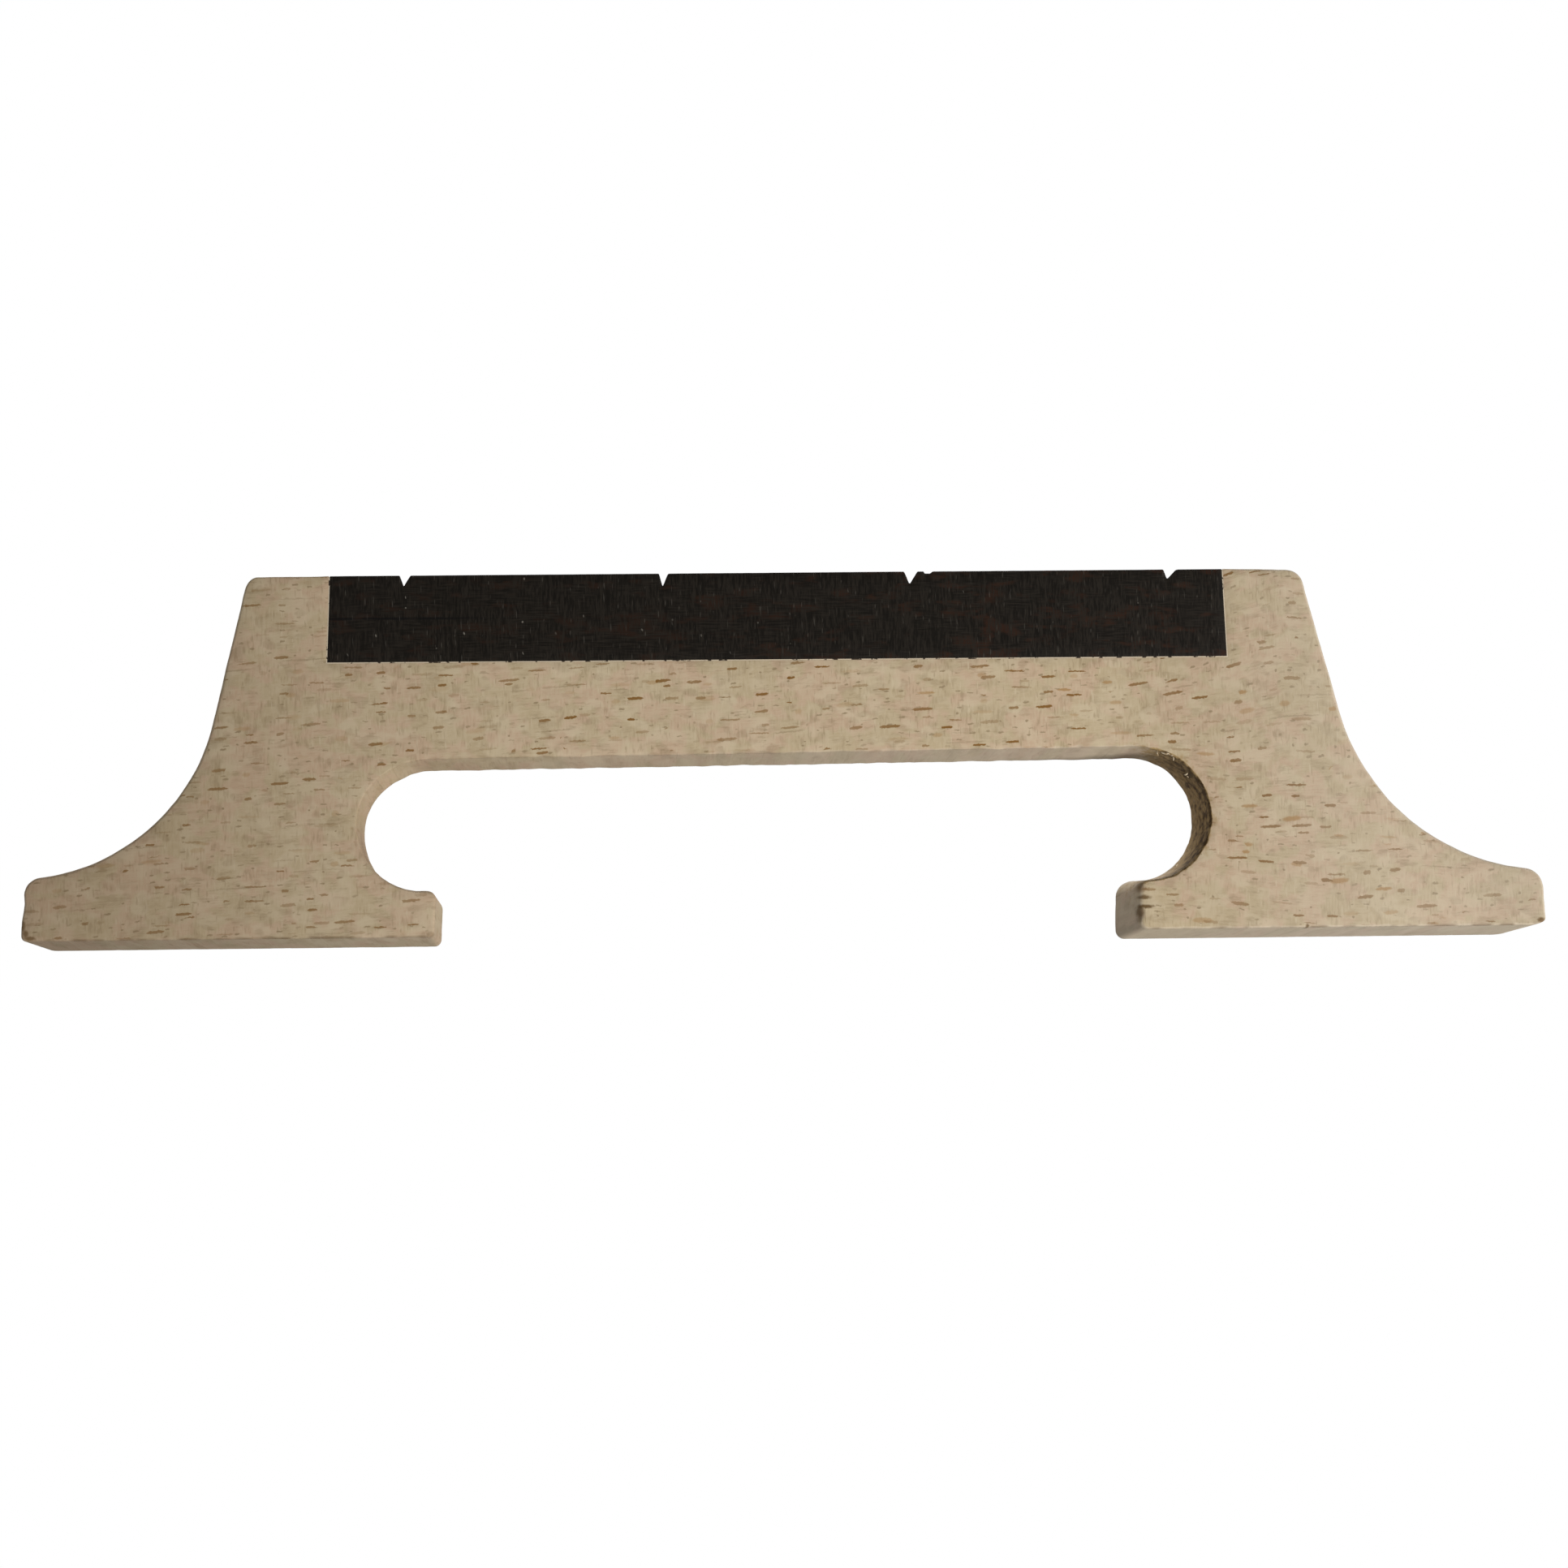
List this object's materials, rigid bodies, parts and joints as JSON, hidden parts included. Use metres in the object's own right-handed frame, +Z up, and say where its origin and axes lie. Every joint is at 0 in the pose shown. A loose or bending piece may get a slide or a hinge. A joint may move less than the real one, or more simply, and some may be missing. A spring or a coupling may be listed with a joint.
{
  "type": "tenor banjo bridge",
  "caption": "Wooden instrument bridge: an arched beech body on two feet, with a dark string bar let into its top and V slots that space the strings.",
  "frame": {"origin": "middle of the two soles, on the surface that the bridge stands on", "axes": "+X along the bridge from its left foot to its right foot, -Y out of the upright flat face, +Z up from the soles to the strings"},
  "size_m": [0.067, 0.0063, 0.016],
  "materials": {
    "beech": "bare beech, sawn and sanded, not lacquered, with short brown ray flecks",
    "ebony": "near-black ebony, sanded to a dull satin"
  },
  "bodies": {
    "root": {"bridge_body": "beech", "string_bar": "ebony"}
  },
  "joints": []
}
